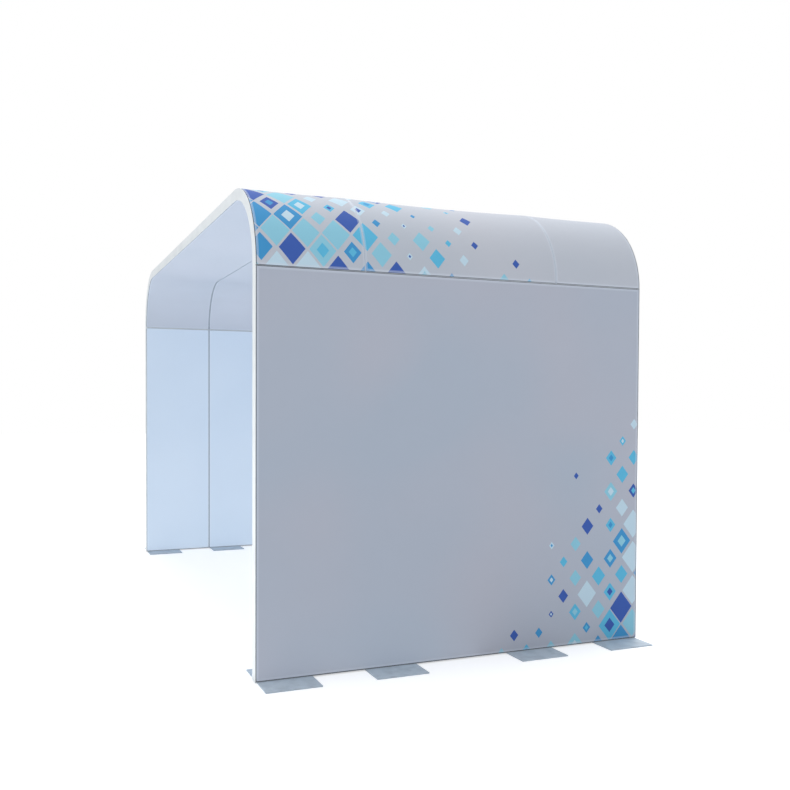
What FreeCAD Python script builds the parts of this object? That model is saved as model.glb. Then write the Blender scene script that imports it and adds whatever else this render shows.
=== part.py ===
import FreeCAD, Part
import os
from math import asin, cos, pi, sin

# A walk-through exhibition arch: two walls, two rounded corners and a flat roof, made of
# aluminium frame modules in three slices, dressed inside and out with stretched fabric.
# Millimetres, +Z up, +X to the right and the front end at -Y. The origin is on the floor,
# in the middle of the footprint.

# Arch, measured over its outer faces
arch_width = 4000.0
end_slice_depth = 560.0
middle_slice_depth = 1120.0
wall_module_height = 2000.0
bend_radius = 450.0
roof_modules_across = 2

# Extrusions: a lip and a fabric groove along the edge of each face, with the fabric's seat
# behind them. The wall extrusion has flanges and a channel that opens into the frame; the
# slim one of the bends and the roof has only its seat wall
profile_thickness = 60.0
lip_width = 2.0
groove_width = 3.5
groove_depth = 14.0
fabric_seat_depth = 1.2
wall_profile_depth = 30.0
channel_floor_thickness = 2.5
flange_thickness = 2.5
slim_wall_thickness = 4.0

# Flat cross bar between two extrusions of a module
bar_width = 40.0
bar_thickness = 8.0
brace_height_share = 0.5

# Corner gusset, a plate in the channels at each mitred corner of a wall module
gusset_leg = 60.0
gusset_thickness = 3.0

# Fabric, with the room that it keeps to the frame
fabric_thickness = 0.6
fabric_clearance = 0.3

# Foot plate, square to the wall under its bottom rail, set in a little from a module's end
foot_thickness = 6.0
foot_width = 280.0
foot_reach = 160.0
foot_inset = 10.0

# Stud welded to each foot, which the foot turns on in the bottom rail
stud_radius = 4.0
stud_tip = 2.0
stud_clearance = 0.05

# Overrun of every cutting body past the face that it cuts
overrun = 5.0

# Lines that the pieces share
half_width = arch_width / 2
arch_depth = middle_slice_depth + 2 * end_slice_depth
wall_base = foot_thickness
seam_height = wall_base + wall_module_height
arch_height = seam_height + bend_radius
bend_centre = half_width - bend_radius
groove_end = lip_width + groove_width
channel_floor = groove_end + channel_floor_thickness
slim_depth = groove_end + slim_wall_thickness
foot_axis = half_width - profile_thickness / 2
front = -arch_depth / 2
slices = [
    ("front", front, end_slice_depth),
    ("middle", front + end_slice_depth, middle_slice_depth),
    ("back", front + end_slice_depth + middle_slice_depth, end_slice_depth),
]
sides = [("right", 1), ("left", -1)]

right_way = FreeCAD.Vector(1, 0, 0)
back_way = FreeCAD.Vector(0, 1, 0)
up_way = FreeCAD.Vector(0, 0, 1)

# Feet of one wall, each with the place of its stud along the depth
foot_middle = foot_inset + foot_width / 2
feet = [
    ("1", front + foot_middle),
    ("2", front + end_slice_depth + foot_middle),
    ("3", front + end_slice_depth + middle_slice_depth - foot_middle),
    ("4", front + arch_depth - foot_middle),
]


def export(name, solids):
    """Writes one sub-part, with each of its pieces a solid of its own."""
    shape = solids[0] if len(solids) == 1 else Part.makeCompound(solids)
    shape.exportStep("parts/" + name + ".step")


def solid_between(first, last):
    """Solid with flat faces between two outlines that have as many points."""
    faces = [Part.Face(Part.makePolygon(outline + outline[:1])) for outline in (first, last)]
    for here in range(len(first)):
        after = (here + 1) % len(first)
        side = [first[here], first[after], last[after], last[here], first[here]]
        faces.append(Part.Face(Part.makePolygon(side)))
    solid = Part.Solid(Part.Shell(faces))
    if solid.Volume < 0:
        solid.reverse()
    return solid


def wall_section(outer_lip=True):
    """Outline of the wall extrusion: distance from the outer face, then from the frame's edge.

    Without its outer lip it is the upright that a one-piece outer fabric passes over."""
    seat = fabric_seat_depth
    flange = seat + flange_thickness
    far = profile_thickness
    outline = [
        (far, 0),
        (far, lip_width),
        (far - groove_depth, lip_width),
        (far - groove_depth, groove_end),
        (far - seat, groove_end),
        (far - seat, wall_profile_depth),
        (far - flange, wall_profile_depth),
        (far - flange, channel_floor),
        (flange, channel_floor),
        (flange, wall_profile_depth),
        (seat, wall_profile_depth),
    ]
    if outer_lip:
        return outline + outer_groove()
    return outline + [(seat, 0)]


def slim_section():
    """Outline of the slim extrusion, measured as the wall extrusion is."""
    seat = fabric_seat_depth
    far = profile_thickness
    outline = [
        (far, 0),
        (far, lip_width),
        (far - groove_depth, lip_width),
        (far - groove_depth, groove_end),
        (far - seat, groove_end),
        (far - seat, slim_depth),
        (seat, slim_depth),
    ]
    return outline + outer_groove()


def outer_groove():
    """Fabric groove and lip of an outer face, from the fabric's seat to the frame's edge."""
    return [
        (fabric_seat_depth, groove_end),
        (groove_depth, groove_end),
        (groove_depth, lip_width),
        (0, lip_width),
        (0, 0),
    ]


def extrusion(corner, across, inward, along, length, section, mitre):
    """Straight extrusion from a corner of its frame; a mitre of 1 cuts both ends at 45 degrees."""
    first = []
    last = []
    for face_distance, edge_distance in section:
        base = corner + across * face_distance + inward * edge_distance
        first.append(base + along * (edge_distance * mitre))
        last.append(base + along * (length - edge_distance * mitre))
    return solid_between(first, last)


def upright(sign, edge, inward_sign):
    """Upright of a wall module, from the base to the seam.

    At an end of the arch it has a lip outside; between modules the outer fabric runs past it."""
    corner = FreeCAD.Vector(sign * half_width, edge, wall_base)
    at_end = abs(edge) == arch_depth / 2
    section = wall_section(at_end)
    return extrusion(
        corner, right_way * -sign, back_way * inward_sign, up_way, wall_module_height, section, 1
    )


def wall_rail(sign, slice_front, depth, height, inward_sign):
    """Top or bottom rail of a wall module."""
    corner = FreeCAD.Vector(sign * half_width, slice_front, height)
    inward = up_way * inward_sign
    return extrusion(corner, right_way * -sign, inward, back_way, depth, wall_section(), 1)


def bottom_rail(sign, slice_front, depth):
    """Bottom rail, with a hole for the stud of each foot that stands under it."""
    rail = wall_rail(sign, slice_front, depth, wall_base, 1)
    for _, pivot in feet:
        if slice_front < pivot < slice_front + depth:
            start = FreeCAD.Vector(sign * foot_axis, pivot, wall_base - overrun)
            reach = channel_floor + 2 * overrun
            rail = rail.cut(Part.makeCylinder(stud_radius + stud_clearance, reach, start))
    return rail


def wall_brace(sign, slice_front, depth):
    """Cross bar half way up a wall module, from channel floor to channel floor."""
    height = wall_base + wall_module_height * brace_height_share - bar_thickness / 2
    low = FreeCAD.Vector(sign * foot_axis - bar_width / 2, slice_front + channel_floor, height)
    return Part.makeBox(bar_width, depth - 2 * channel_floor, bar_thickness, low)


def gusset(sign, edge, inward_sign, height, up_sign):
    """Triangular plate on the channel floors at one mitred corner of a wall module."""
    near = sign * foot_axis - gusset_thickness / 2
    points = []
    for along, up in ((0, 0), (gusset_leg, 0), (0, gusset_leg)):
        y = edge + inward_sign * (channel_floor + along)
        z = height + up_sign * (channel_floor + up)
        points.append(FreeCAD.Vector(near, y, z))
    return solid_between(points, [point + right_way * gusset_thickness for point in points])


def bend(sign, edge, inward_sign):
    """Quarter bend that carries an upright's lips and grooves on into the roof.

    Its foot is mitred to meet the corner rail."""
    points = []
    for face_distance, edge_distance in slim_section():
        x = sign * (half_width - face_distance)
        points.append(FreeCAD.Vector(x, edge + inward_sign * edge_distance, seam_height))
    face = Part.Face(Part.makePolygon(points + points[:1]))
    axis_point = FreeCAD.Vector(sign * bend_centre, edge, seam_height)
    whole = face.revolve(axis_point, back_way * -sign, 90)
    reach = slim_depth + overrun
    first = []
    last = []
    for along, up in ((-overrun, -overrun), (reach, -overrun), (reach, reach)):
        y = edge + inward_sign * along
        z = seam_height + up
        first.append(FreeCAD.Vector(sign * (half_width + overrun), y, z))
        last.append(FreeCAD.Vector(sign * bend_centre, y, z))
    return whole.cut(solid_between(first, last))


def corner_rail(sign, slice_front, depth):
    """Bottom rail of a corner module, on the top rail of the wall module below."""
    corner = FreeCAD.Vector(sign * half_width, slice_front, seam_height)
    return extrusion(corner, right_way * -sign, up_way, back_way, depth, slim_section(), 1)


def roof_rail(x, length, edge, inward_sign):
    """Straight roof extrusion, cut square to meet the next module."""
    corner = FreeCAD.Vector(x, edge, arch_height)
    inward = back_way * inward_sign
    return extrusion(corner, up_way * -1, inward, right_way, length, slim_section(), 0)


def roof_bar(x, slice_front, depth):
    """Cross bar at an end of a corner or roof module, with its low X side at x."""
    z = arch_height - (profile_thickness + bar_width) / 2
    low = FreeCAD.Vector(x, slice_front + slim_depth, z)
    return Part.makeBox(bar_thickness, depth - 2 * slim_depth, bar_width, low)


def flat_skin(sign, face, slice_front, depth):
    """Fabric stretched over a wall face, from lip to lip; face is its outer X distance."""
    margin = lip_width + fabric_clearance
    x = face - fabric_thickness if sign > 0 else -face
    low = FreeCAD.Vector(x, slice_front + margin, wall_base + margin)
    height = wall_module_height - 2 * margin
    return Part.makeBox(fabric_thickness, depth - 2 * margin, height, low)


def bend_line(radius, sign, start, end):
    """Arc round one bend between two angles from the seam."""
    points = []
    for angle in (start, (start + end) / 2, end):
        x = sign * (bend_centre + radius * cos(angle))
        points.append(FreeCAD.Vector(x, 0, seam_height + radius * sin(angle)))
    return Part.Arc(*points).toShape()


def bent_skin(outer, slice_front, depth):
    """Fabric from seam to seam over both bends and the roof, with outer as its outer radius.

    It is one piece of fabric, drawn as three lengths that meet where the bends end."""
    margin = lip_width + fabric_clearance
    inner = outer - fabric_thickness
    start = asin(margin / outer)
    lengths = []
    for _, sign in sides:
        outside = bend_line(outer, sign, start, pi / 2)
        inside = bend_line(inner, sign, start, pi / 2)
        low = Part.LineSegment(outside.firstVertex().Point, inside.firstVertex().Point).toShape()
        high = Part.LineSegment(outside.lastVertex().Point, inside.lastVertex().Point).toShape()
        face = Part.Face(Part.Wire(Part.__sortEdges__([outside, high, inside, low])))
        lengths.append(face.extrude(back_way * (depth - 2 * margin)))
    low_corner = FreeCAD.Vector(-bend_centre, 0, seam_height + inner)
    lengths.append(Part.makeBox(2 * bend_centre, depth - 2 * margin, fabric_thickness, low_corner))
    for length in lengths:
        length.translate(back_way * (slice_front + margin))
    return lengths


def foot(sign, pivot):
    """Foot plate with the stud that it turns on welded under the middle of the wall."""
    length = profile_thickness + 2 * foot_reach
    low = FreeCAD.Vector(sign * foot_axis - length / 2, pivot - foot_width / 2, 0)
    plate = Part.makeBox(length, foot_width, foot_thickness, low)
    weld = foot_thickness / 2
    root = FreeCAD.Vector(sign * foot_axis, pivot, weld)
    stud = Part.makeCylinder(stud_radius, wall_base + channel_floor + stud_tip - weld, root)
    return plate.fuse(stud)


def build_walls():
    """Frame modules of both walls, one slice behind the other."""
    gussets = []
    for side, sign in sides:
        braces = []
        for name, slice_front, depth in slices:
            slice_back = slice_front + depth
            module = side + "_wall_" + name
            export(module + "_upright_1", [upright(sign, slice_front, 1)])
            export(module + "_upright_2", [upright(sign, slice_back, -1)])
            top = wall_rail(sign, slice_front, depth, seam_height, -1)
            export(module + "_rails", [bottom_rail(sign, slice_front, depth), top])
            braces.append(wall_brace(sign, slice_front, depth))
            for edge, inward_sign in ((slice_front, 1), (slice_back, -1)):
                gussets.append(gusset(sign, edge, inward_sign, wall_base, 1))
                gussets.append(gusset(sign, edge, inward_sign, seam_height, -1))
        export(side + "_wall_braces", braces)
    export("wall_corner_gussets", gussets)


def build_corners_and_roof():
    """Bent corner modules and straight roof modules of the three slices."""
    roof_length = 2 * bend_centre / roof_modules_across
    for name, slice_front, depth in slices:
        edges = ((slice_front, 1), (slice_front + depth, -1))
        for number, (edge, inward_sign) in enumerate(edges, 1):
            bends = [bend(sign, edge, inward_sign) for _, sign in sides]
            export(name + "_bends_" + str(number), bends)
        export(name + "_corner_rails", [corner_rail(sign, slice_front, depth) for _, sign in sides])
        bars = [roof_bar(bend_centre, slice_front, depth)]
        bars.append(roof_bar(-bend_centre - bar_thickness, slice_front, depth))
        rails = []
        for number in range(roof_modules_across):
            start = number * roof_length - bend_centre
            bars.append(roof_bar(start, slice_front, depth))
            bars.append(roof_bar(start + roof_length - bar_thickness, slice_front, depth))
            for edge, inward_sign in edges:
                rails.append(roof_rail(start, roof_length, edge, inward_sign))
        export(name + "_roof_bars", bars)
        export(name + "_roof_rails", rails)


def build_fabric():
    """Stretched fabric: one piece outside each wall, and one to a slice everywhere else."""
    outer_face = half_width - fabric_clearance
    inner_face = half_width - profile_thickness + fabric_clearance + fabric_thickness
    outer_radius = bend_radius - fabric_clearance
    inner_radius = bend_radius - profile_thickness + fabric_clearance + fabric_thickness
    for side, sign in sides:
        export(side + "_wall_outer_skin", [flat_skin(sign, outer_face, front, arch_depth)])
        for name, slice_front, depth in slices:
            inner = flat_skin(sign, inner_face, slice_front, depth)
            export(side + "_wall_inner_skin_" + name, [inner])
    for name, slice_front, depth in slices:
        export("roof_outer_skin_" + name, bent_skin(outer_radius, slice_front, depth))
        export("roof_inner_skin_" + name, bent_skin(inner_radius, slice_front, depth))


def build_feet():
    """Four feet to a wall, each with the stud that it turns on."""
    for side, sign in sides:
        for number, pivot in feet:
            export(side + "_foot_" + number, [foot(sign, pivot)])


os.makedirs("parts", exist_ok=True)
build_walls()
build_corners_and_roof()
build_fabric()
build_feet()
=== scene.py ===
import math

import bmesh
import bpy
from mathutils import Matrix, Vector, noise


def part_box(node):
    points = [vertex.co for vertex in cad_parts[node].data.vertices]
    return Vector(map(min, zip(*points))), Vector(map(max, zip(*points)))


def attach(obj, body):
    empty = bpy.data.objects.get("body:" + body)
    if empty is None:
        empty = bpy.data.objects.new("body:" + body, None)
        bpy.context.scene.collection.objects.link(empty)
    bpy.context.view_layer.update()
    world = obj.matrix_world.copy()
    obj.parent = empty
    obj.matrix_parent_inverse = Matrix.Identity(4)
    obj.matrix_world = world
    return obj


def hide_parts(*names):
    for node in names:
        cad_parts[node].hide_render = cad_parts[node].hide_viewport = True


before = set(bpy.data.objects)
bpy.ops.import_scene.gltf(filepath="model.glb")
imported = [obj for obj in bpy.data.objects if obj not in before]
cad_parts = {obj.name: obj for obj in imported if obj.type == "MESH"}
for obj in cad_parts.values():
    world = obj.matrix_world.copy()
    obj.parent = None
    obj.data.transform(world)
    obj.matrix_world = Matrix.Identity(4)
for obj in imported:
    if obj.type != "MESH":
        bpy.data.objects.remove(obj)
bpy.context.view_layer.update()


# Camera: held at chest height to the front right of the arch, as the photograph was taken. Its
# place, turn, lens and shift were fitted to the corners and seams of the object.
camera_place = Vector((6.1008, -2.154, 1.3618))
camera_yaw = math.radians(157.815)
camera_pitch = math.radians(-1.395)
camera_roll = math.radians(0.248)
camera_sensor_mm = 36
camera_lens_mm = 40.03
camera_shift = (0.0198, 0.0346)
camera_nearest = 0.05
camera_farthest = 200


def make_camera():
    """Camera that looks along yaw and pitch, rolled about its own line of sight."""
    turn = Matrix.Rotation(camera_yaw - math.pi / 2, 4, "Z")
    tilt = Matrix.Rotation(math.pi / 2 + camera_pitch, 4, "X")
    roll = Matrix.Rotation(camera_roll, 4, "Z")
    data = bpy.data.cameras.new("camera")
    data.sensor_width = camera_sensor_mm
    data.lens = camera_lens_mm
    data.shift_x, data.shift_y = camera_shift
    data.clip_start, data.clip_end = camera_nearest, camera_farthest
    camera = bpy.data.objects.new("camera", data)
    camera.matrix_world = Matrix.Translation(camera_place) @ turn @ tilt @ roll
    bpy.context.collection.objects.link(camera)
    bpy.context.scene.camera = camera


make_camera()


# Frame extrusions: aluminium profiles in a satin white powder coat, mitred and bent, with a
# fabric groove along both faces. The coat is rubbed a little dull where the modules are handled.
# The joints between the modules get a painted shade: pale where the slices meet, darker on the outer
# lips along the wall tops, darkest towards the front, and at the floor.
coat_white = "#E1E6E8"
coat_rubbed = "#D9DEE1"
coat_roughness = (0.38, 0.5)
rub_marks_mm = 140
orange_peel_mm = 5  # really 1 mm, drawn coarser so that it shows
orange_peel_depth = 0.0001
coat_ior = 1.5
coat_bump = 0.3
rubbed_range = (0.42, 0.72)  # noise over which the coat goes from fresh to rubbed
# Colours and widths of the painted shade in the joints
slice_joint_shade = "#BCC6D4"
front_seam_shade = "#8B929B"
rear_seam_shade = "#B0B6BE"
lightest_seam_shade = 0.2  # place along the arch from which the painted seam shade is lightest
joint_shade_reach = 0.0021
floor_line_shade_reach = 0.0035

sides = {"right": 1, "left": -1}
slices = ("front", "middle", "back")
profile_low, profile_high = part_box("right_wall_front_upright_1")
rail_low, rail_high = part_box("right_wall_middle_rails")
outer_face, inner_face = profile_high.x, profile_low.x
wall_base, seam_height = rail_low.z, rail_high.z
slice_ends = {}
for part in slices:
    slice_low, slice_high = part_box(f"right_wall_{part}_rails")
    slice_ends[part] = (slice_low.y, slice_high.y)
arch_ends = (slice_ends["front"][0], slice_ends["back"][1])


def srgb(code):
    """Linear colour of an sRGB hex value."""
    shares = [int(code[start:start + 2], 16) / 255 for start in (1, 3, 5)]
    linear = [s / 12.92 if s <= 0.04045 else ((s + 0.055) / 1.055) ** 2.4 for s in shares]
    return (*linear, 1.0)


def add_node(tree, kind, inputs, **settings):
    """Adds a node. An input is a plain value, a socket, or a node that gives its first output."""
    node = tree.nodes.new(kind)
    for name, value in settings.items():
        setattr(node, name, value)
    for key, value in inputs.items():
        socket = node.inputs[key] if isinstance(key, int) else next(
            s for s in node.inputs if s.enabled and s.name == key
        )
        if isinstance(value, bpy.types.Node):
            value = next(s for s in value.outputs if s.enabled)
        if isinstance(value, bpy.types.NodeSocket):
            tree.links.new(value, socket)
        else:
            socket.default_value = value
    return node


def new_material(name, **values):
    """Material with plain values set on its shader's own sockets."""
    material = bpy.data.materials.new(name)
    material.use_nodes = True
    shader = material.node_tree.nodes["Principled BSDF"]
    for socket, value in values.items():
        shader.inputs[socket.replace("_", " ")].default_value = value
    return material, material.node_tree, shader


def link(tree, node, socket):
    """Links a node's first output in use to a socket of the shader."""
    tree.links.new(next(s for s in node.outputs if s.enabled), socket)


def per_metre(size_mm):
    """Scale of a pattern whose features measure size_mm."""
    return 1000 / size_mm


def painted_joint_shade(tree, place, colour):
    """Painted shade in the joints: pale between slices, darker outside along the wall tops and at the
    floor.
    """
    parts = add_node(tree, "ShaderNodeSeparateXYZ", {"Vector": place})
    across = add_node(tree, "ShaderNodeMath", {0: parts.outputs["X"]}, operation="ABSOLUTE")
    along = add_node(tree, "ShaderNodeMath", {0: parts.outputs["Y"]}, operation="ABSOLUTE")
    between = add_node(tree, "ShaderNodeMath", {0: along, 1: slice_ends["back"][0], 2: joint_shade_reach},
                       operation="COMPARE")
    colour = add_node(tree, "ShaderNodeMix", {"Factor": between, "A": colour, "B": srgb(slice_joint_shade)},
                      data_type="RGBA")
    on_lip = add_node(tree, "ShaderNodeMath", {0: across, 1: outer_face, 2: joint_shade_reach},
                      operation="COMPARE")
    back = add_node(tree, "ShaderNodeMapRange", {"Value": parts.outputs["Y"], "From Min": arch_ends[0],
                                                 "From Max": lightest_seam_shade})
    seam_shade = add_node(tree, "ShaderNodeMix", {"Factor": back, "A": srgb(front_seam_shade),
                                                 "B": srgb(rear_seam_shade)}, data_type="RGBA")
    # painted shade on the outer lips along the wall-top seam and at the floor
    for height, reach, tint in ((seam_height, joint_shade_reach, seam_shade),
                                (wall_base, floor_line_shade_reach, srgb(front_seam_shade))):
        level = add_node(tree, "ShaderNodeMath", {0: parts.outputs["Z"], 1: height, 2: reach},
                         operation="COMPARE")
        line_shade = add_node(tree, "ShaderNodeMath", {0: level, 1: on_lip}, operation="MULTIPLY")
        colour = add_node(tree, "ShaderNodeMix", {"Factor": line_shade, "A": colour, "B": tint},
                          data_type="RGBA")
    return colour


def powder_coat(name, colours, roughness, marks_mm, grain_mm, grain_depth, painted_shade=None):
    """Powder coat that blends from its own colour to a handled one, with a fine grain."""
    material, tree, shader = new_material(name, IOR=coat_ior)
    place = add_node(tree, "ShaderNodeTexCoord", {}).outputs["Object"]
    marks = add_node(tree, "ShaderNodeTexNoise", {"Vector": place, "Scale": per_metre(marks_mm),
                                                  "Detail": 6})
    share = add_node(tree, "ShaderNodeMapRange", {"Value": marks, "From Min": rubbed_range[0],
                                                  "From Max": rubbed_range[1]})
    fresh, handled = [srgb(code) for code in colours]
    colour = add_node(tree, "ShaderNodeMix", {"Factor": share, "A": fresh, "B": handled},
                      data_type="RGBA")
    # painted shade in the joints, where it is asked for
    if painted_shade:
        colour = painted_shade(tree, place, colour)
    link(tree, colour, shader.inputs["Base Color"])
    rough = add_node(tree, "ShaderNodeMapRange", {"Value": marks, "To Min": roughness[0],
                                                  "To Max": roughness[1]})
    link(tree, rough, shader.inputs["Roughness"])
    grain = add_node(tree, "ShaderNodeTexNoise", {"Vector": place, "Scale": per_metre(grain_mm),
                                                  "Detail": 2})
    bump = add_node(tree, "ShaderNodeBump", {"Height": grain, "Strength": coat_bump,
                                             "Distance": grain_depth})
    link(tree, bump, shader.inputs["Normal"])
    return material


def dress(names, material):
    """Gives CAD nodes their finish."""
    for name in names:
        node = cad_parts[name]
        node.data.materials.clear()
        node.data.materials.append(material)


wall_members = ("upright_1", "upright_2", "rails")
arch_members = ("bends_1", "bends_2", "corner_rails", "roof_rails")
coated = [f"{side}_wall_{part}_{member}" for side in sides for part in slices for member in wall_members]
coated += [f"{part}_{member}" for part in slices for member in arch_members]
dress(coated, powder_coat("white_powder_coat", (coat_white, coat_rubbed), coat_roughness, rub_marks_mm,
                          orange_peel_mm, orange_peel_depth, painted_shade=painted_joint_shade))


# Cross bars and corner gussets: mill-finish flat aluminium cut from stock, screwed between the
# extrusions and hidden by the fabric. Rolling leaves fine lines and a soft shine.
mill_light = "#CDCFD1"
mill_dark = "#B2B5B8"
mill_roughness = (0.28, 0.45)
rolled_line_mm = 2
rolled_line_length_mm = 160


def mill_aluminium():
    """Flat aluminium as rolled, with its lines along the depth of the arch."""
    material, tree, shader = new_material("mill_aluminium", Metallic=1)
    place = add_node(tree, "ShaderNodeTexCoord", {}).outputs["Object"]
    across, along = per_metre(rolled_line_mm), per_metre(rolled_line_length_mm)
    lines = add_node(tree, "ShaderNodeMapping", {"Vector": place, "Scale": (across, along, across)})
    grain = add_node(tree, "ShaderNodeTexNoise", {"Vector": lines, "Scale": 1, "Detail": 3})
    colour = add_node(tree, "ShaderNodeMix", {"Factor": grain, "A": srgb(mill_dark),
                                              "B": srgb(mill_light)}, data_type="RGBA")
    link(tree, colour, shader.inputs["Base Color"])
    rough = add_node(tree, "ShaderNodeMapRange", {"Value": grain, "To Min": mill_roughness[0],
                                                  "To Max": mill_roughness[1]})
    link(tree, rough, shader.inputs["Roughness"])
    return material


stock = ["right_wall_braces", "left_wall_braces", "wall_corner_gussets"]
stock += [part + "_roof_bars" for part in slices]
dress(stock, mill_aluminium())


# Foot plates: 6 mm steel, cut square, powder coated silver grey, each with a welded stud that it
# turns on under the wall. They lie underfoot, so their coat is scuffed and a little dull.
plate_grey = "#B9C7D4"
plate_scuffed = "#A9B7C4"
plate_roughness = (0.34, 0.55)
plate_scuff_mm = 60
plate_grit_mm = 4
plate_grit_depth = 0.0003

feet = [f"{side}_foot_{number}" for side in sides for number in (1, 2, 3, 4)]
dress(feet, powder_coat("silver_powder_coat", (plate_grey, plate_scuffed), plate_roughness,
                        plate_scuff_mm, plate_grit_mm, plate_grit_depth))


# Fabric pieces: knitted polyester, printed, then cut flat and hemmed. Each is stretched over its
# module, and its edges turn down into the grooves behind the lips of the extrusions. On a flat
# piece u runs up a wall or round the arch, v runs back, and w stands out of its face.
cloth_thickness = 0.0004
face_recess = 0.0003  # how far the cloth lies under the faces of the lips
lip_width = 0.002
edge_gap = 0.002  # open groove between a lip and the cloth
seam_gap = 0.0009  # the same where a wall meets a bend
corner_radius = 0.006
edge_round = 0.001
edge_tuck = 0.0012
edge_steps = 3
hem_lines = (0.002, 0.006, 0.011, 0.013, 0.022)  # mesh lines beside each edge, to mark the hem on
mesh_pitch = 0.07
ripple_depth = 0.0007
ripple_size = 0.45
ripple_fade = 0.1


def cut_flat(low, high):
    """Rectangle of fabric with rounded corners, lying face up between two corners (u, v)."""
    bm = bmesh.new()
    bmesh.ops.create_grid(bm, x_segments=1, y_segments=1, size=0.5)
    size = high - low
    bmesh.ops.scale(bm, vec=(size.x, size.y, 1), verts=bm.verts)
    bmesh.ops.translate(bm, vec=((low + high) / 2).to_3d(), verts=bm.verts)
    bmesh.ops.bevel(bm, geom=bm.verts[:], offset=corner_radius, offset_type="OFFSET",
                    segments=edge_steps, profile=0.5, affect="VERTICES", material=-1)
    return bm


def cut_lines(bm, axis, places):
    """Adds mesh lines square to an axis, so that the piece can bend there."""
    normal = Vector((axis == 0, axis == 1, 0))
    for place in places:
        everything = bm.verts[:] + bm.edges[:] + bm.faces[:]
        bmesh.ops.bisect_plane(bm, geom=everything, plane_co=normal * place, plane_no=normal)


def spread(low, high, pitch):
    """Even places between two ends, about a pitch apart."""
    count = max(2, round((high - low) / pitch))
    return [low + (high - low) * step / count for step in range(1, count)]


def turn_edges(bm, low, high):
    """Rounds the edges over and tucks them down into the groove."""
    core_low = low + Vector((corner_radius, corner_radius))
    core_high = high - Vector((corner_radius, corner_radius))
    moves = []
    for step in range(edge_steps):
        before, after = [math.pi / 2 * (step + extra) / edge_steps for extra in (0, 1)]
        out = edge_round * (math.sin(after) - math.sin(before))
        moves.append((out, edge_round * (math.cos(before) - math.cos(after))))
    moves.append((0, edge_tuck))
    for out, down in moves:
        rim = [edge for edge in bm.edges if edge.is_boundary]
        made = bmesh.ops.extrude_edge_only(bm, edges=rim)["geom"]
        for vert in (item for item in made if isinstance(item, bmesh.types.BMVert)):
            core = Vector((min(max(vert.co.x, core_low.x), core_high.x),
                           min(max(vert.co.y, core_low.y), core_high.y), vert.co.z))
            vert.co += (vert.co - core).normalized() * out - Vector((0, 0, down))


def lay_piece(bm, name, place, flip, material):
    """Lays a flat piece where it belongs, and makes it an object that rides on the arch."""
    for vert in bm.verts:
        vert.co = place(*vert.co)
    if flip:
        bmesh.ops.reverse_faces(bm, faces=bm.faces[:])
    mesh = bpy.data.meshes.new(name)
    bm.to_mesh(mesh)
    bm.free()
    mesh.materials.append(material)
    mesh.shade_smooth()
    piece = bpy.data.objects.new(name, mesh)
    bpy.context.collection.objects.link(piece)
    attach(piece, "arch")
    return piece


def ease(share):
    """Smooth step from 0 to 1."""
    share = min(max(share, 0), 1)
    return share * share * (3 - 2 * share)


def ripple(u, v, seed):
    """Slow ripples that tension leaves in a stretched fabric."""
    return ripple_depth * noise.noise(Vector((u / ripple_size, v / ripple_size, seed)))


# Edge strips: matt dark silicone, sewn along the four edges of each fabric to jam it in the groove.
# They stop short of the corners, where a small dark hole is left. Their near-black colour is also a
# painted shade of the groove they sit in.
strip_and_groove_shade_colour = "#24282D"
strip_bloom = "#30363D"
strip_bloom_mm = 25
strip_roughness = (0.5, 0.7)
strip_width = 0.0028
strip_depth = 0.008
strip_end = 0.009
strip_clearance = 0.0002


def silicone():
    """Matt dark silicone with a faint bloom, its near-black partly a painted groove shade."""
    material, tree, shader = new_material("silicone", IOR=1.43)
    place = add_node(tree, "ShaderNodeTexCoord", {}).outputs["Object"]
    bloom = add_node(tree, "ShaderNodeTexNoise", {"Vector": place, "Scale": per_metre(strip_bloom_mm),
                                                  "Detail": 3})
    colour = add_node(tree, "ShaderNodeMix", {"Factor": bloom, "A": srgb(strip_and_groove_shade_colour),
                                              "B": srgb(strip_bloom)}, data_type="RGBA")
    link(tree, colour, shader.inputs["Base Color"])
    rough = add_node(tree, "ShaderNodeMapRange", {"Value": bloom, "To Min": strip_roughness[0],
                                                  "To Max": strip_roughness[1]})
    link(tree, rough, shader.inputs["Roughness"])
    return material


strip_silicone = silicone()


def strips_of(name, low, high, bends, place, flip):
    """The four strips of one fabric; low and high are the extrusions' edges as (u, v)."""
    inset = lip_width + strip_clearance
    bm = bmesh.new()
    for axis, other in ((0, 1), (1, 0)):
        size = Vector((strip_width, strip_width, strip_depth))
        size[axis] = (high - low)[axis] - 2 * (inset + strip_end)
        centre = ((low + high) / 2).to_3d()
        centre.z = -edge_round - edge_tuck - strip_depth / 2
        for edge in (low[other] + inset + strip_width / 2, high[other] - inset - strip_width / 2):
            centre[other] = edge
            spot = Matrix.Translation(centre) @ Matrix.Diagonal(size.to_4d())
            bmesh.ops.create_cube(bm, size=1, matrix=spot)
    cut_lines(bm, 0, bends)
    strips = lay_piece(bm, name, place, flip, strip_silicone)
    for polygon in strips.data.polygons:
        polygon.use_smooth = False
    return strips


# Print: diamonds dyed into the outer fabrics in five blues, some with a second diamond inside. They
# stand in staggered rows and shrink away from the front end of the roof and the walls' rear foot.
print_blues = ("#C3DCEB", "#8FCBE0", "#5FBBE0", "#4397CF", "#3D5FB0")
blue_starts = (0, 0.2, 0.42, 0.62, 0.82)
diamond_height = 0.19
diamond_width = 0.156
largest_share = 0.95
least_share = 0.18
size_spread = 0.6
inner_diamond_share = 0.46
nested_share = 0.4


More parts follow.
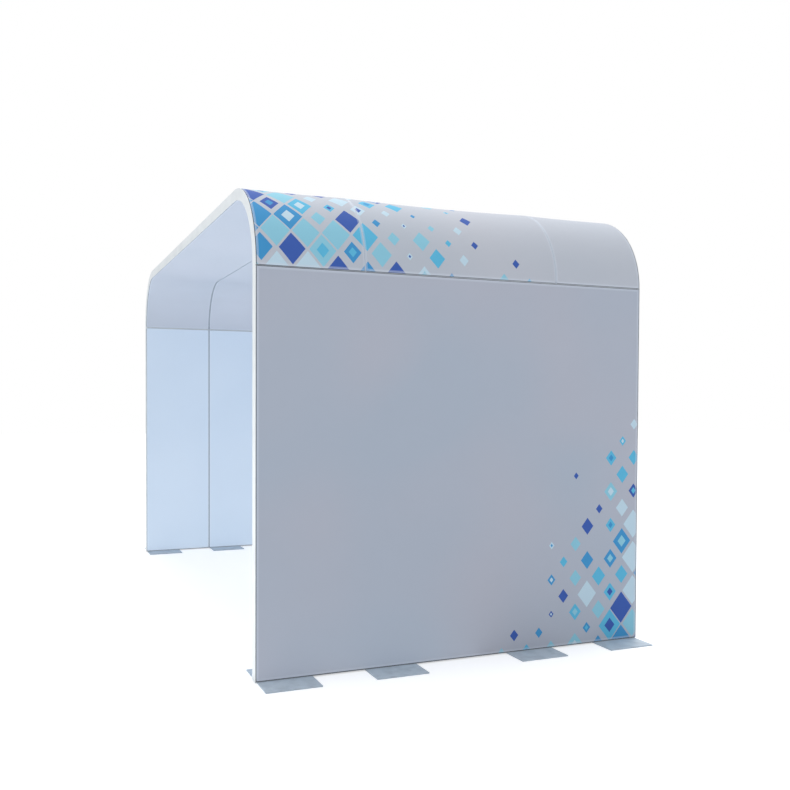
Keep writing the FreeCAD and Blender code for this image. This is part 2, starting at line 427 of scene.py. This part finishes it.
def diamond_print(tree, cloth, ground, fade):
    """Diamonds over a ground colour; fade gives the share of full size from a diamond's own middle.

    The cloth's place is counted in rows along both slants of the diamonds, so that each diamond is
    one square of a plain lattice. A random draw for each square gives its size and its blues."""
    rows = []
    for way in (1, -1):
        slant = (1 / diamond_height, way / diamond_width, 0)
        rows.append(add_node(tree, "ShaderNodeVectorMath", {0: cloth, 1: slant}, operation="DOT_PRODUCT"))
    lattice = add_node(tree, "ShaderNodeCombineXYZ", {"X": rows[0], "Y": rows[1]})
    corner = add_node(tree, "ShaderNodeVectorMath", {0: lattice}, operation="FLOOR")
    middle = add_node(tree, "ShaderNodeVectorMath", {0: corner, 1: (0.5, 0.5, 0)}, operation="ADD")
    off = add_node(tree, "ShaderNodeVectorMath", {0: lattice, 1: middle}, operation="SUBTRACT")
    off = add_node(tree, "ShaderNodeVectorMath", {0: off}, operation="ABSOLUTE")
    off = add_node(tree, "ShaderNodeSeparateXYZ", {"Vector": off})
    reach = add_node(tree, "ShaderNodeMath", {0: off.outputs["X"], 1: off.outputs["Y"]},
                     operation="MAXIMUM")
    reach = add_node(tree, "ShaderNodeMath", {0: reach, 1: 2}, operation="MULTIPLY")
    places = []
    for size, way in ((diamond_height, 1), (diamond_width, -1)):
        back_turn = (size / 2, way * size / 2, 0)
        places.append(add_node(tree, "ShaderNodeVectorMath", {0: middle, 1: back_turn},
                               operation="DOT_PRODUCT"))
    chance = add_node(tree, "ShaderNodeTexWhiteNoise", {"Vector": corner})
    draws = add_node(tree, "ShaderNodeSeparateColor", {"Color": chance.outputs["Color"]})
    change = add_node(tree, "ShaderNodeMapRange", {"Value": draws.outputs["Red"],
                                                   "To Min": -size_spread / 2, "To Max": size_spread / 2})
    share = add_node(tree, "ShaderNodeMath", {0: fade(tree, *places), 1: change}, operation="ADD")
    share = add_node(tree, "ShaderNodeMath", {0: share, 1: largest_share}, operation="MINIMUM")
    kept = add_node(tree, "ShaderNodeMath", {0: share, 1: least_share}, operation="GREATER_THAN")
    share = add_node(tree, "ShaderNodeMath", {0: share, 1: kept}, operation="MULTIPLY")
    nested = add_node(tree, "ShaderNodeMath", {0: draws.outputs["Blue"], 1: nested_share},
                      operation="LESS_THAN")
    small = add_node(tree, "ShaderNodeMath", {0: share, 1: nested}, operation="MULTIPLY")
    small = add_node(tree, "ShaderNodeMath", {0: small, 1: inner_diamond_share}, operation="MULTIPLY")
    second = add_node(tree, "ShaderNodeMapRange", {"Value": draws.outputs["Blue"],
                                                   "From Max": nested_share})
    for limit, draw in ((share, draws.outputs["Green"]), (small, second)):
        inside = add_node(tree, "ShaderNodeMath", {0: reach, 1: limit}, operation="LESS_THAN")
        ramp = add_node(tree, "ShaderNodeValToRGB", {"Fac": draw})
        ramp.color_ramp.interpolation = "CONSTANT"
        while len(ramp.color_ramp.elements) < len(print_blues):
            ramp.color_ramp.elements.new(1)
        for element, start, blue in zip(ramp.color_ramp.elements, blue_starts, print_blues):
            element.position = start
            element.color = srgb(blue)
        ground = add_node(tree, "ShaderNodeMix", {"Factor": inside, "A": ground, "B": ramp},
                          data_type="RGBA")
    return ground


# Knit: matt polyester in fine rows of stitches, with painted shade in the hollows between them. Its
# hems are doubled and drawn paler, a painted highlight, they are sewn down with a pale thread, and
# painted shade darkens them where they turn into the grooves.
knit_mm = 4  # really 0.6 mm, drawn coarser so that it shows
# colour and share of the painted shade in the knit's hollows
thread_shade = "#4A525C"
thread_shade_share = 0.09
knit_bump = 0.35
knit_depth = 0.0002
tone_patch_mm = 900
tone_range = (0.35, 0.65)  # noise over which the cloth goes from light to deep
# The paler hem band is a painted highlight; its colour is also the thread's.
hem_width = 0.012
hem_blend = 0.001
hem_highlight_share = 0.3
closed_hem = 0.004  # added at an edge that meets another fabric, so that it isn't shaded
groove_shade_start = 0.0006
groove_shade_full = 0.0002
stitch_mm = 6  # really 4 mm, drawn coarser so that it shows
stitch_share = 0.6
stitch_inset = 0.004
stitch_half_width = 0.0006
stitch_rise = 1.5


def mark_cloth(bm, low, high, closed):
    """Keeps the flat place of each point as its UV, and its distance from an edge at an open groove.

    closed says which edges meet another fabric, in the order low u, high u, low v and high v."""
    hem = bm.verts.layers.float.new("hem")
    more = [closed_hem if shut else 0 for shut in closed]
    for vert in bm.verts:
        reaches = (vert.co.x - low.x, high.x - vert.co.x, vert.co.y - low.y, high.y - vert.co.y)
        vert[hem] = min(reach + extra for reach, extra in zip(reaches, more))
    cloth = bm.loops.layers.uv.new("cloth")
    for face in bm.faces:
        for loop in face.loops:
            loop[cloth].uv = loop.vert.co.xy
    return hem


def thread_height(tree, cloth):
    """Height of the knit, in crossed rows of stitches."""
    rows = add_node(tree, "ShaderNodeMapping", {"Vector": cloth, "Scale": (per_metre(knit_mm),) * 3})
    parts = add_node(tree, "ShaderNodeSeparateXYZ", {"Vector": rows})
    waves = []
    for axis in ("X", "Y"):
        turn = add_node(tree, "ShaderNodeMath", {0: parts.outputs[axis], 1: 2 * math.pi},
                        operation="MULTIPLY")
        waves.append(add_node(tree, "ShaderNodeMath", {0: turn}, operation="SINE"))
    return add_node(tree, "ShaderNodeMath", {0: waves[0], 1: waves[1]}, operation="MULTIPLY")


def stitches(tree, cloth, distance):
    """Row of stitches that holds the edge strip, along all four edges."""
    row = add_node(tree, "ShaderNodeMath", {0: distance, 1: stitch_inset, 2: stitch_half_width},
                   operation="COMPARE")
    pitch = per_metre(stitch_mm)
    along = add_node(tree, "ShaderNodeVectorMath", {0: cloth, 1: (pitch, pitch, 0)},
                     operation="DOT_PRODUCT")
    turn = add_node(tree, "ShaderNodeMath", {0: along}, operation="FRACT")
    thread = add_node(tree, "ShaderNodeMath", {0: turn, 1: stitch_share}, operation="LESS_THAN")
    return add_node(tree, "ShaderNodeMath", {0: row, 1: thread}, operation="MULTIPLY")


def knit(name, colours, hem_highlight_and_thread, groove_shade, fade=None):
    """Matt knit with its hems and stitches, painted shade and a painted hem highlight; with a fade, the
    print is dyed into it.
    """
    material, tree, shader = new_material(name, Roughness=0.85, IOR=1.45, Specular_IOR_Level=0.25,
                                          Sheen_Weight=0.05, Sheen_Roughness=0.5)
    cloth = add_node(tree, "ShaderNodeUVMap", {}, uv_map="cloth")
    patches = add_node(tree, "ShaderNodeTexNoise", {"Vector": cloth, "Scale": per_metre(tone_patch_mm),
                                                    "Detail": 1})
    share = add_node(tree, "ShaderNodeMapRange", {"Value": patches, "From Min": tone_range[0],
                                                  "From Max": tone_range[1]})
    light, deep = [srgb(code) for code in colours]
    colour = add_node(tree, "ShaderNodeMix", {"Factor": share, "A": light, "B": deep}, data_type="RGBA")
    if fade:
        colour = diamond_print(tree, cloth, colour, fade)
    distance = add_node(tree, "ShaderNodeAttribute", {}, attribute_name="hem").outputs["Fac"]
    # a paler hem band as painted highlight, then painted shade where the edge turns into the groove
    for start, full, most, tint in ((hem_width + hem_blend, hem_width - hem_blend, hem_highlight_share, hem_highlight_and_thread),
                                    (groove_shade_start, groove_shade_full, 1, groove_shade)):
        band = add_node(tree, "ShaderNodeMapRange", {"Value": distance, "From Min": start,
                                                     "From Max": full, "To Max": most})
        colour = add_node(tree, "ShaderNodeMix", {"Factor": band, "A": colour, "B": srgb(tint)},
                          data_type="RGBA")
    # painted shade in the hollows between the threads
    threads = thread_height(tree, cloth)
    shade = add_node(tree, "ShaderNodeMapRange", {"Value": threads, "From Min": -1,
                                                  "To Min": thread_shade_share, "To Max": 0})
    colour = add_node(tree, "ShaderNodeMix", {"Factor": shade, "A": colour, "B": srgb(thread_shade)},
                      data_type="RGBA")
    sewn = stitches(tree, cloth, distance)
    colour = add_node(tree, "ShaderNodeMix", {"Factor": sewn, "A": colour, "B": srgb(hem_highlight_and_thread)},
                      data_type="RGBA")
    link(tree, colour, shader.inputs["Base Color"])
    height = add_node(tree, "ShaderNodeMath", {0: sewn, 1: stitch_rise, 2: threads},
                      operation="MULTIPLY_ADD")
    bump = add_node(tree, "ShaderNodeBump", {"Height": height, "Strength": knit_bump,
                                             "Distance": knit_depth})
    link(tree, bump, shader.inputs["Normal"])
    return material


# Wall fabrics: one piece over the whole outside of each wall, and one to a module inside. The
# outer ones are grey with the print at their rear foot, the inner ones plain pale blue, and each
# stands flat behind its lips with the slowest of ripples. The outer grey is drawn a little darker
# than the roof's, a painted shade, and the inner pale blue is partly the cloth's own colour and
# partly a painted glow of the light that comes through the fabric.
outer_wall_cloth = "#B8BCC9"
outer_wall_cloth_deep = "#B1BBCA"
outer_hem_highlight_and_thread = "#D5DDEA"
outer_groove_shade = "#4A525C"
inner_wall_cloth = "#D8E6F5"
inner_wall_cloth_deep = "#D4E3F3"
inner_wall_hem_highlight_and_thread = "#E0EAF4"
inner_wall_groove_shade = "#AAB8CB"
wall_print_reach = 1
wall_print_rise = 1.7
bottom_gap = 0.0015
inner_ripple_seed = 3


def make_sheet(name, node, ends_u, ends_v, gaps, lines_u, place, flip, shape, material,
               closed=(False,) * 4):
    """Cuts, marks and bends one fabric, and makes its strips.

    ends_u and ends_v are the extrusions' edges. gaps are the open widths beside the lips, and closed
    says which of them meet another fabric, both in the order low u, high u, low v and high v.
    shape(u, v) is how far the fabric stands out of its plane."""
    edge_low, edge_high = Vector((ends_u[0], ends_v[0])), Vector((ends_u[1], ends_v[1]))
    reach = lip_width + edge_round
    low = edge_low + Vector((gaps[0] + reach, gaps[2] + reach))
    high = edge_high - Vector((gaps[1] + reach, gaps[3] + reach))
    bm = cut_flat(low, high)
    for axis, more in ((0, lines_u), (1, spread(low.y, high.y, mesh_pitch))):
        hems = [edge for line in hem_lines for edge in (low[axis] + line, high[axis] - line)]
        cut_lines(bm, axis, hems + more)
    turn_edges(bm, low, high)
    hem = mark_cloth(bm, low, high, closed)
    for vert in bm.verts:
        vert.co.z += shape(vert.co.x, vert.co.y) * ease(vert[hem] / ripple_fade)
    piece = lay_piece(bm, name, place, flip, material)
    wall = piece.modifiers.new("cloth_thickness", "SOLIDIFY")
    wall.thickness = cloth_thickness
    wall.offset = -1
    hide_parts(node)
    strips = strips_of(name + "_edge_strips", edge_low, edge_high, lines_u, place, flip)


def on_wall(side, facing):
    """Place on a wall of a point that is u up, v back and w out of the fabric's face."""
    face = outer_face - face_recess if facing > 0 else inner_face + face_recess
    return lambda u, v, w: Vector((sides[side] * (face + facing * w), v, u))


def wall_fade(tree, up, back):
    """Full at the rear foot of the wall, gone along the floor and up the rear edge."""
    away = add_node(tree, "ShaderNodeMath", {0: up, 1: -1 / wall_print_rise, 2: 1},
                    operation="MULTIPLY_ADD")
    along = add_node(tree, "ShaderNodeMath", {0: arch_ends[1], 1: back}, operation="SUBTRACT")
    return add_node(tree, "ShaderNodeMath", {0: along, 1: -1 / wall_print_reach, 2: away},
                    operation="MULTIPLY_ADD")


def make_wall_fabrics():
    """The outer and inner fabrics of both walls."""
    outer_knit = knit("printed_polyester_knit_wall", (outer_wall_cloth, outer_wall_cloth_deep), outer_hem_highlight_and_thread,
                      outer_groove_shade, wall_fade)
    inner_knit = knit("pale_blue_polyester_knit", (inner_wall_cloth, inner_wall_cloth_deep),
                      inner_wall_hem_highlight_and_thread, inner_wall_groove_shade)
    lines = spread(wall_base, seam_height, mesh_pitch)
    for side, sign in sides.items():
        make_sheet(
            f"{side}_outer_wall_fabric", f"{side}_wall_outer_skin",
            ends_u=(wall_base, seam_height), ends_v=arch_ends,
            gaps=(bottom_gap, seam_gap, edge_gap, edge_gap), lines_u=lines,
            place=on_wall(side, 1), flip=sign > 0,
            shape=lambda u, v: ripple(u, v, sign), material=outer_knit,
        )
        for part in slices:
            make_sheet(
                f"{side}_inner_wall_fabric_{part}", f"{side}_wall_inner_skin_{part}",
                ends_u=(wall_base, seam_height), ends_v=slice_ends[part],
                gaps=(edge_gap,) * 4, lines_u=lines, place=on_wall(side, -1), flip=sign < 0,
                shape=lambda u, v: ripple(u, v, inner_ripple_seed * sign), material=inner_knit,
            )


make_wall_fabrics()


# Roof fabrics: one piece to a slice outside and one inside, from seam to seam over both corners.
# Between its two bends each is pulled off the arc, most of all in the wide middle slice. The outer
# ones are pale grey with the print at the front end, the inner ones plain blue grey. The outer grey
# is drawn paler than the walls', a painted light on the top, and the inner blue grey darker than
# the inner walls', a painted shade under the roof.
outer_roof_cloth = "#C2C6D0"
outer_roof_cloth_deep = "#BDC4CF"
inner_roof_cloth = "#C7CEDA"
inner_roof_cloth_deep = "#C3CBD7"
inner_roof_hem_highlight_and_thread = "#D3DCE6"
inner_roof_groove_shade = "#8793A4"
roof_print_reach = 1.6
roof_print_rise = 4.2
tight_gap = 0.0004  # groove where two outer fabrics meet
bend_steps = 28
draw_in = {"front": 0.0025, "middle": 0.009, "back": 0.0025}
draw_reach_share = 1.3
draw_flatness = 0.8
roof_sag = {"front": 0.001, "middle": 0.003, "back": 0.001}
roof_ripple_seed = 7

roof_rails_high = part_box("middle_roof_rails")[1]
bend_centre = roof_rails_high.x
bend_radius = roof_rails_high.z - seam_height
inner_radius = bend_radius - (outer_face - inner_face)


def along_arch(facing):
    """Place round the arch of a point that is u along from the right seam, v back and w out.

    Also gives the length of a bend, and of the whole arch."""
    radius = bend_radius - face_recess if facing > 0 else inner_radius + face_recess
    bend = radius * math.pi / 2
    roof = 2 * bend_centre

    def place(u, v, w):
        out = radius + facing * w
        if u < bend:
            angle = u / radius
            return Vector((bend_centre + out * math.cos(angle), v, seam_height + out * math.sin(angle)))
        if u < bend + roof:
            return Vector((bend_centre - (u - bend), v, seam_height + out))
        angle = (2 * bend + roof - u) / radius
        return Vector((-bend_centre - out * math.cos(angle), v, seam_height + out * math.sin(angle)))

    return place, bend, 2 * bend + roof


def roof_fade(tree, girth, back):
    """Full at the front end over each corner, gone past the middle and on the flat of the roof."""
    other = add_node(tree, "ShaderNodeMath", {0: along_arch(1)[2], 1: girth}, operation="SUBTRACT")
    rise = add_node(tree, "ShaderNodeMath", {0: girth, 1: other}, operation="MINIMUM")
    away = add_node(tree, "ShaderNodeMath", {0: rise, 1: -1 / roof_print_rise, 2: 1},
                    operation="MULTIPLY_ADD")
    along = add_node(tree, "ShaderNodeMath", {0: back, 1: arch_ends[0]}, operation="SUBTRACT")
    return add_node(tree, "ShaderNodeMath", {0: along, 1: -1 / roof_print_reach, 2: away},
                    operation="MULTIPLY_ADD")


def make_roof_fabrics():
    """The outer and inner fabrics of the bends and the roof."""
    outer_knit = knit("printed_polyester_knit_roof", (outer_roof_cloth, outer_roof_cloth_deep), outer_hem_highlight_and_thread,
                      outer_groove_shade, roof_fade)
    inner_knit = knit("blue_grey_polyester_knit", (inner_roof_cloth, inner_roof_cloth_deep),
                      inner_roof_hem_highlight_and_thread, inner_roof_groove_shade)
    for facing, layer, material in ((1, "outer", outer_knit), (-1, "inner", inner_knit)):
        place, bend, girth = along_arch(facing)
        lines = [bend * step / bend_steps for step in range(1, bend_steps + 1)]
        lines += spread(bend, girth - bend, mesh_pitch) + [girth - line for line in lines]
        for part in slices:
            front, back = slice_ends[part]

            def shape(u, v):
                across = 1 - (2 * (v - front) / (back - front) - 1) ** 2
                share = min(u, girth - u) / (bend * draw_reach_share)
                pull = draw_in[part] * max(math.sin(math.pi * min(share, 1)), 0) ** draw_flatness
                sag = roof_sag[part] * ease((min(u, girth - u) - bend) / bend)
                return -facing * across * (pull + sag) + ripple(u, v, roof_ripple_seed * facing)

            meets = (facing > 0 and part != "front", facing > 0 and part != "back")
            end_gaps = [tight_gap if met else edge_gap for met in meets]
            make_sheet(
                f"{layer}_roof_fabric_{part}", f"roof_{layer}_skin_{part}",
                ends_u=(0, girth), ends_v=(front, back),
                gaps=(seam_gap, seam_gap, *end_gaps), lines_u=lines,
                place=place, flip=facing > 0, shape=shape, material=material,
                closed=(False, False, *meets),
            )


make_roof_fabrics()


# Studio: a wide pale floor, an even white surround, a soft sun high at the back left, and three
# soft lamps, one low in the passage, one at its front and one low beside the right wall. The floor
# looks white and keeps the shadow.
floor_white = "#DCDFE3"
floor_size = 60
floor_glow = 0.46
pure_white = (1, 1, 1, 1)
surround_strength = 0.76
sun_strength = 2.1
sun_spread = math.radians(50)
sun_height = math.radians(64)
sun_side = math.radians(-125)
upwards = Vector((0, 0, 1))
inwards = Vector((0.1, 1, 0.1))
lamps = {  # each lamp's power, size, place and aim
    "passage_lamp": (26, (3.87, 3.6), Vector((0, -0.3, 0.008)), upwards),
    "front_lamp": (8.5, (0.6, 1.2), Vector((1.7, -2.8, 0.8)), inwards),
    "side_lamp": (0.9, (0.5, 1.6), Vector((2.26, -0.7, 0.008)), upwards),
}


def make_floor():
    """Floor plane with a white for the camera that keeps its shadows."""
    bm = bmesh.new()
    bmesh.ops.create_grid(bm, x_segments=1, y_segments=1, size=floor_size / 2)
    mesh = bpy.data.meshes.new("floor")
    bm.to_mesh(mesh)
    bm.free()
    material, tree, shader = new_material("studio_floor", Base_Color=srgb(floor_white), Roughness=0.9,
                                          Specular_IOR_Level=0, Emission_Color=pure_white)
    path = add_node(tree, "ShaderNodeLightPath", {})
    seen = add_node(tree, "ShaderNodeMath", {0: path.outputs["Is Camera Ray"],
                                             1: path.outputs["Is Glossy Ray"]}, operation="MAXIMUM")
    glow = add_node(tree, "ShaderNodeMath", {0: seen, 1: floor_glow}, operation="MULTIPLY")
    link(tree, glow, shader.inputs["Emission Strength"])
    mesh.materials.append(material)
    floor = bpy.data.objects.new("floor", mesh)
    bpy.context.collection.objects.link(floor)


def make_surround():
    """White surround for camera, mirror and glass rays, and a plainer one for light."""
    world = bpy.data.worlds.new("studio")
    bpy.context.scene.world = world
    world.use_nodes = True
    tree = world.node_tree
    path = add_node(tree, "ShaderNodeLightPath", {})
    seen = add_node(tree, "ShaderNodeMath", {0: path.outputs["Is Camera Ray"],
                                             1: path.outputs["Is Glossy Ray"]}, operation="MAXIMUM")
    seen = add_node(tree, "ShaderNodeMath", {0: seen, 1: path.outputs["Is Transmission Ray"]},
                    operation="MAXIMUM")
    strength = add_node(tree, "ShaderNodeMapRange", {"Value": seen, "To Min": surround_strength,
                                                     "To Max": 1})
    background = tree.nodes["Background"]
    background.inputs["Color"].default_value = pure_white
    link(tree, strength, background.inputs["Strength"])


def make_sun():
    """Soft sun from the back left."""
    data = bpy.data.lights.new("soft_sun", "SUN")
    data.energy = sun_strength
    data.angle = sun_spread
    sun = bpy.data.objects.new("soft_sun", data)
    level = math.cos(sun_height)
    towards = Vector((level * math.sin(sun_side), -level * math.cos(sun_side), math.sin(sun_height)))
    sun.rotation_mode = "QUATERNION"
    sun.rotation_quaternion = towards.to_track_quat("Z", "Y")
    bpy.context.collection.objects.link(sun)


def make_lamps():
    """Soft lamps that light the object and don't show themselves."""
    for name, (power, size, place, aim) in lamps.items():
        data = bpy.data.lights.new(name, "AREA")
        data.shape = "RECTANGLE"
        data.energy = power
        data.size, data.size_y = size
        lamp = bpy.data.objects.new(name, data)
        lamp.visible_camera = False
        lamp.matrix_world = Matrix.Translation(place) @ (-aim).to_track_quat("Z", "Y").to_matrix().to_4x4()
        bpy.context.collection.objects.link(lamp)


make_floor()
make_surround()
make_sun()
make_lamps()
bpy.context.scene.view_settings.view_transform = "Standard"

bpy.context.view_layer.update()
